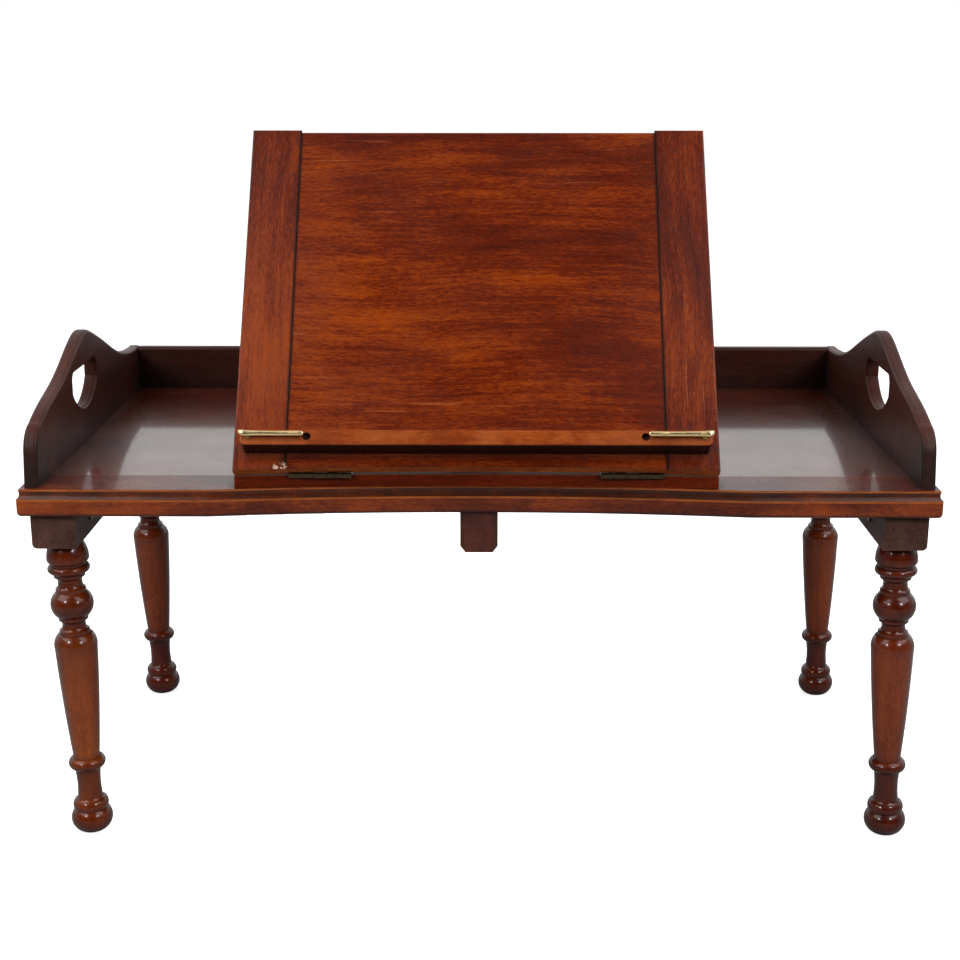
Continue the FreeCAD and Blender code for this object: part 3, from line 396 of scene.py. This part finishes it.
def woodMaterial(name, tone, grain, shift=(0.0, 0.0, 0.0)):
    values = tones[tone]
    turned = "turned" in values
    material = bpy.data.materials.new(name)
    material.use_nodes = True
    tree = material.node_tree
    tree.nodes.clear()
    out = addNode(tree, "ShaderNodeOutputMaterial", 900)
    shader = addNode(tree, "ShaderNodeBsdfPrincipled", 600)
    tree.links.new(shader.outputs[0], out.inputs["Surface"])
    coords = addNode(tree, "ShaderNodeTexCoord", -1400)
    place = addNode(tree, "ShaderNodeMapping", -1200)
    place.inputs["Rotation"].default_value = grainTurns[grain]
    place.inputs["Location"].default_value = shift
    tree.links.new(coords.outputs["Object"], place.inputs["Vector"])
    vector = place.outputs["Vector"]
    groups = {}
    for key, group in (("grain", mahoganyGrain), ("edge", rubbedEdges), ("grimeAndShade", cornerGrimeAndShade), ("wear", polishWear)):
        node = addNode(tree, "ShaderNodeGroup", -900)
        node.node_tree = group
        tree.links.new(vector, node.inputs["Vector"])
        groups[key] = node
    grainNode, edgeNode, grimeShadeNode, wearNode = (groups[key] for key in ("grain", "edge", "grimeAndShade", "wear"))
    for socket, key in (("Dark", "dark"), ("Middle", "middle"), ("Light", "light")):
        grainNode.inputs[socket].default_value = (*values[key], 1)
    grainNode.inputs["Figure"].default_value = values["figure"]
    edgeNode.inputs["Amount"].default_value = values["edge"]
    edgeNode.inputs["Width"].default_value = values.get("rimWidth", varnish["rimWidth"])
    grimeShadeNode.inputs["Reach"].default_value = values.get("reach", varnish["grimeShadeReach"])
    scratches, haze, dents = (wearNode.outputs[key] for key in ("Scratches", "Haze", "Dents"))
    colour = mixColour(tree, mathNode(tree, "MULTIPLY", haze, 0.25), grainNode.outputs["Color"], values["dark"])
    colour = mixColour(tree, mathNode(tree, "MULTIPLY", scratches, 0.35), colour, values["worn"])
    colour = mixColour(tree, edgeNode.outputs["Edge"], colour, values["rim"])
    if tone == "moulding":
        colour = mouldingPatina(tree, coords.outputs["Object"], colour, values)
    if turned:
        colour = turningPatina(tree, coords.outputs["Object"], colour)
    if tone == "gallery":
        colour = galleryPatina(tree, coords.outputs["Object"], colour)
    if tone in ("slope", "cleat"):
        colour = slopePatina(tree, coords.outputs["Object"], colour)
    if tone == "ledge":
        # the downward faces are painted near black: painted shade under the ledge
        underside = remap(tree, normalAxis(tree, "Z"), -0.35, -0.6)
        streak = remap(tree, noise(tree, vector, 25.0, 4.0, 0.7), 0.42, 0.60)
        colour = mixColour(tree, mathNode(tree, "MULTIPLY", streak, 0.45), colour, values["rim"])
        colour = mixColour(tree, mathNode(tree, "MULTIPLY", underside, 0.97), colour, (0.006, 0.0014, 0.0006))
    if turned:
        colour = paintedShadeSides(tree, colour, values["turned"])
    # the corner mask darkens the colour: dirt there and painted shade in corners and grooves
    dirtAndShade = mathNode(tree, "MULTIPLY", grimeShadeNode.outputs["GrimeAndShade"], values.get("grimeAndShade", varnish["grimeAndShade"]))
    colour = mixColour(tree, dirtAndShade, colour, varnish["grimeShadeColour"])
    tree.links.new(colour, shader.inputs["Base Color"])
    rough = remap(tree, haze, 0.0, 1.0, values["gloss"], values["gloss"] + 0.14)
    rough = mathNode(tree, "MULTIPLY_ADD", grimeShadeNode.outputs["GrimeAndShade"], 0.35, rough)
    rough = mathNode(tree, "MULTIPLY_ADD", edgeNode.outputs["Edge"], 0.12, rough)
    tree.links.new(rough, shader.inputs["Roughness"])
    coat = remap(tree, grimeShadeNode.outputs["GrimeAndShade"], 0.0, 1.0, values["coat"], 0.1)
    tree.links.new(coat, shader.inputs["Coat Weight"])
    shader.inputs["Coat Roughness"].default_value = varnish["coatRoughness"]
    shader.inputs["Coat IOR"].default_value = varnish["ior"]
    shader.inputs["Specular IOR Level"].default_value = values.get("shine", varnish["shine"])
    shader.inputs["IOR"].default_value = varnish["ior"]
    height = mathNode(tree, "MULTIPLY", grainNode.outputs["Pores"], -0.35)
    height = mathNode(tree, "MULTIPLY_ADD", scratches, -0.6, height)
    height = mathNode(tree, "MULTIPLY_ADD", dents, -0.5, height)
    height = mathNode(tree, "MULTIPLY_ADD", noise(tree, vector, 16.0, 2.0), 1.6, height)
    bump = addNode(tree, "ShaderNodeBump", 300)
    setInputs(bump, Strength=varnish["turnedBump" if turned else "bump"], Distance=varnish["bumpDepth"])
    tree.links.new(height, bump.inputs["Height"])
    tree.links.new(bump.outputs["Normal"], shader.inputs["Normal"])
    return material


def brassMaterial(name, bright, dull, gloss):
    material = bpy.data.materials.new(name)
    material.use_nodes = True
    tree = material.node_tree
    shader = tree.nodes["Principled BSDF"]
    coords = addNode(tree, "ShaderNodeTexCoord")
    vector = coords.outputs["Object"]
    stain = remap(tree, noise(tree, vector, 120.0, 3.0, 0.5), 0.45, 0.85)
    grimeAndShade = addNode(tree, "ShaderNodeGroup")
    grimeAndShade.node_tree = cornerGrimeAndShade
    grimeAndShade.inputs["Reach"].default_value = 0.004
    tree.links.new(vector, grimeAndShade.inputs["Vector"])
    colour = mixColour(tree, stain, bright, dull)
    # the corner mask darkens the brass: dirt and painted shade in the hinge corners
    colour = mixColour(tree, mathNode(tree, "MULTIPLY", grimeAndShade.outputs["GrimeAndShade"], 0.8), colour, (0.02, 0.015, 0.01))
    tree.links.new(colour, shader.inputs["Base Color"])
    shader.inputs["Metallic"].default_value = 1.0
    tree.links.new(remap(tree, stain, 0.0, 1.0, gloss, gloss + 0.25), shader.inputs["Roughness"])
    bump = addNode(tree, "ShaderNodeBump")
    setInputs(bump, Strength=0.12, Distance=0.0001)
    tree.links.new(noise(tree, vector, 700.0, 3.0), bump.inputs["Height"])
    tree.links.new(bump.outputs["Normal"], shader.inputs["Normal"])
    return material


clipBrass = brassMaterial("clipBrass", (0.95, 0.74, 0.38), (0.72, 0.50, 0.20), 0.20)
hingeBrass = brassMaterial("hingeBrass", (0.085, 0.062, 0.034), (0.028, 0.021, 0.013), 0.36)
screwSteel = brassMaterial("screwSteel", (0.34, 0.31, 0.27), (0.10, 0.085, 0.07), 0.36)
print("materials ready")

woods = {
    "tray_front_rail": ("moulding", "x", (0.0, 0.0, 0.0)),
    "tray_board_left": ("tray", "x", (0.7, 0.2, 0.0)),
    "tray_board_centre": ("tray", "x", (1.9, 0.5, 0.1)),
    "tray_board_right": ("tray", "x", (3.1, 0.9, 0.0)),
    "gallery_left": ("gallery", "y", (0.3, 1.1, 0.4)),
    "gallery_right": ("gallery", "y", (1.3, 2.1, 0.9)),
    "gallery_back": ("gallery", "x", (2.3, 3.1, 0.2)),
    "centre_bearer": ("bearer", "y", (0.9, 0.4, 0.3)),
    "legrail_left": ("rail", "y", (0.2, 0.8, 0.5)),
    "legrail_right": ("rail", "y", (1.2, 0.3, 0.7)),
    "leg_left_front": ("leg", "z", (0.0, 0.5, 0.2)),
    "leg_left_back": ("legRed", "z", (0.6, 1.5, 0.3)),
    "leg_right_front": ("legRed", "z", (1.1, 2.5, 0.4)),
    "leg_right_back": ("legRed", "z", (1.7, 3.5, 0.5)),
    "slope_base": ("base", "x", (0.4, 0.1, 0.9)),
    "slope_panel": ("slope", "slopeX", (0.0, 0.3, 0.1)),
    "slope_cleat_left": ("cleat", "upSlope", (0.5, 0.2, 0.6)),
    "slope_cleat_right": ("cleat", "upSlope", (1.5, 0.7, 0.1)),
    "slope_ledge": ("ledge", "slopeX", (2.5, 0.6, 0.4)),
    "slope_strut": ("base", "upSlope", (0.8, 1.6, 0.3)),
    "ratchet_strip": ("base", "x", (1.8, 2.6, 0.1)),
}
metals = {"page_clip": clipBrass, "clip_collars": clipBrass, "leghinge": hingeBrass, "slopehinge": hingeBrass}


def dressNodes():
    for name, obj in nodes.items():
        if name in woods:
            material = woodMaterial(name + "Wood", *woods[name])
        elif "screws" in name or name == "slope_strut_pin":
            material = screwSteel
        else:
            material = next(value for key, value in metals.items() if name.startswith(key))
        for slot in obj.material_slots:
            slot.material = material


dressNodes()
print("pieces dressed")

# ---- page clips ----
# the wire starts at its free end; each station is along the wire, its rise, then how wide and how thick it is there
clip = {
    "radius": 0.0021, "postRadius": 0.00165, "postDepth": 0.0125, "sides": 14,
    "stations": [(0.0435, 0.0000, 0.45, 0.45), (0.0430, 0.0000, 0.85, 0.85), (0.0415, 0.0000, 1.02, 1.02),
                 (0.0360, -0.0001, 1.0, 1.0), (0.0270, -0.0003, 0.97, 0.97), (0.0180, -0.0003, 0.97, 0.97),
                 (0.0090, -0.0001, 1.0, 1.0), (0.0030, 0.0000, 1.05, 1.0), (0.0000, 0.0001, 1.20, 0.95),
                 (-0.0030, 0.0007, 1.22, 0.80), (-0.0052, 0.0019, 1.05, 0.72), (-0.0062, 0.0033, 0.85, 0.66),
                 (-0.0064, 0.0042, 0.45, 0.40)],
}


def makePageClip(label, side):
    joint = joints[f"clip_{label}_swing"]
    bpy.ops.object.select_all(action="DESELECT")
    free, rise, wide, thick = clip["stations"][0]
    bpy.ops.mesh.primitive_circle_add(vertices=clip["sides"], radius=clip["radius"] * wide, fill_type="NGON",
                                      location=(-side * free, 0, rise), rotation=(0, math.radians(90), 0))
    piece = bpy.context.object
    piece.name = f"pageClip{label.capitalize()}"
    bpy.ops.object.transform_apply(location=True, rotation=True, scale=True)
    bpy.ops.object.mode_set(mode="EDIT")
    for x, z, newWide, newThick in clip["stations"][1:]:
        bpy.ops.mesh.extrude_region_move(TRANSFORM_OT_translate={"value": (-side * (x - free), 0, z - rise)})
        bpy.ops.transform.resize(value=(1, newWide / wide, newThick / thick), center_override=(-side * x, 0, z))
        free, rise, wide, thick = x, z, newWide, newThick
    bpy.ops.mesh.select_all(action="SELECT")
    bpy.ops.mesh.normals_make_consistent(inside=False)
    bpy.ops.object.mode_set(mode="OBJECT")
    smooth = piece.modifiers.new("smooth", "SUBSURF")
    smooth.levels = smooth.render_levels = 2
    bpy.ops.object.modifier_apply(modifier=smooth.name)
    bpy.ops.object.shade_smooth()
    post = makeClipPost()
    bpy.ops.object.select_all(action="DESELECT")
    post.select_set(True)
    piece.select_set(True)
    bpy.context.view_layer.objects.active = piece
    bpy.ops.object.join()
    piece.rotation_euler = (slopeTilt, 0, 0)
    piece.location = Vector(joint["pos_m"])
    bpy.ops.object.transform_apply(location=True, rotation=True, scale=True)
    piece.data.materials.clear()
    piece.data.materials.append(clipBrass)
    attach(piece, f"clip_{label}")
    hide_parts(f"page_clip_{label}")


def makeClipPost():
    bpy.ops.object.select_all(action="DESELECT")
    bpy.ops.mesh.primitive_cylinder_add(vertices=24, radius=clip["postRadius"], depth=clip["postDepth"],
                                        location=(0, 0, -clip["postDepth"] / 2))
    post = bpy.context.object
    bpy.ops.object.transform_apply(location=True, rotation=True, scale=True)
    rounded = post.modifiers.new("rounded", "BEVEL")
    rounded.width, rounded.segments = 0.0003, 2
    bpy.ops.object.modifier_apply(modifier=rounded.name)
    bpy.ops.object.shade_smooth_by_angle(angle=math.radians(40))
    return post


for label, side in (("left", -1), ("right", 1)):
    makePageClip(label, side)
print("page clips made")

# ---- studio ----
# what a user would change about the studio: light, floor and the camera's place from the tray's front edge
studio = {
    "floorTone": 0.93, "floorBounce": 0.34, "floorGlow": 0.66, "backdrop": 1.0, "fill": 0.95, "roomShade": 0.03,
    "keyPower": 9.0, "keyWide": 0.24, "keyHigh": 0.30, "keyPlace": (0.95, -1.35, 1.05),
    "skyPower": 27.0, "skyWide": 1.6, "skyPlace": (1.35, -0.70, 1.80),
    "cameraBack": 1.1992, "cameraUp": 0.3365, "cameraSide": 0.0102, "cameraDip": 15.27, "cameraTurn": 0.44,
    "lens": 60.0, "sensor": 36.0, "floorSize": 14.0, "lampAim": (0, 0, 0.3),
}


def makeWorld():
    # white all round for the eye, dimmer in front than behind for the light it gives
    world = bpy.data.worlds.new("studioWorld")
    world.use_nodes = True
    tree = world.node_tree
    background = tree.nodes["Background"]
    coords = addNode(tree, "ShaderNodeTexCoord")
    depth = axesOf(tree, coords.outputs["Generated"])["Y"]
    behind = remap(tree, depth, -0.55, 0.55, studio["roomShade"], studio["fill"])
    path = addNode(tree, "ShaderNodeLightPath")
    keep = mathNode(tree, "SUBTRACT", 1.0, path.outputs["Is Camera Ray"])
    dim = mathNode(tree, "MULTIPLY", behind, keep)
    seen = mathNode(tree, "MULTIPLY_ADD", path.outputs["Is Camera Ray"], studio["backdrop"], dim)
    tree.links.new(seen, background.inputs["Strength"])
    background.inputs["Color"].default_value = (1, 1, 1, 1)
    bpy.context.scene.world = world
    bpy.context.scene.view_settings.view_transform = "Standard"


def makeStudio():
    bpy.ops.object.select_all(action="DESELECT")
    bpy.ops.mesh.primitive_plane_add(size=studio["floorSize"], location=(0, 0, 0))
    floor = bpy.context.object
    floor.name = "studioFloor"
    material = bpy.data.materials.new("floorPaper")
    material.use_nodes = True
    tree = material.node_tree
    shader = tree.nodes["Principled BSDF"]
    shader.inputs["Roughness"].default_value = 0.9
    seen = addNode(tree, "ShaderNodeLightPath").outputs["Is Camera Ray"]
    tree.links.new(remap(tree, seen, 0, 1, studio["floorBounce"], studio["floorTone"]), shader.inputs["Base Color"])
    shader.inputs["Emission Color"].default_value = (1, 1, 1, 1)
    tree.links.new(mathNode(tree, "MULTIPLY", seen, studio["floorGlow"]), shader.inputs["Emission Strength"])
    floor.data.materials.append(material)
    for side in (-1, 1):
        addLamp(f"keyLamp{side}", side, studio["keyPlace"], studio["keyWide"], studio["keyHigh"], studio["keyPower"])
        addLamp(f"skyLamp{side}", side, studio["skyPlace"], studio["skyWide"], studio["skyWide"], studio["skyPower"])


def addLamp(name, side, place, wide, high, power):
    lamp = bpy.data.lights.new(name, "AREA")
    lamp.shape = "RECTANGLE"
    lamp.size, lamp.size_y = wide, high
    lamp.energy = power
    obj = bpy.data.objects.new(name, lamp)
    bpy.context.collection.objects.link(obj)
    obj.location = (side * place[0], place[1], place[2])
    aim = Vector(studio["lampAim"]) - obj.location
    obj.rotation_euler = aim.to_track_quat("-Z", "Y").to_euler()


def makeCamera():
    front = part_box("tray_front_rail")[0].y
    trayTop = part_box("tray_board_left")[1].z
    camera = bpy.data.cameras.new("camera")
    camera.lens = studio["lens"]
    camera.sensor_width = studio["sensor"]
    obj = bpy.data.objects.new("camera", camera)
    bpy.context.collection.objects.link(obj)
    obj.location = (studio["cameraSide"], front - studio["cameraBack"], trayTop + studio["cameraUp"])
    obj.rotation_euler = (math.radians(90 - studio["cameraDip"]), 0, math.radians(studio["cameraTurn"]))
    bpy.context.scene.camera = obj


makeWorld()
makeStudio()
makeCamera()
print("studio ready")
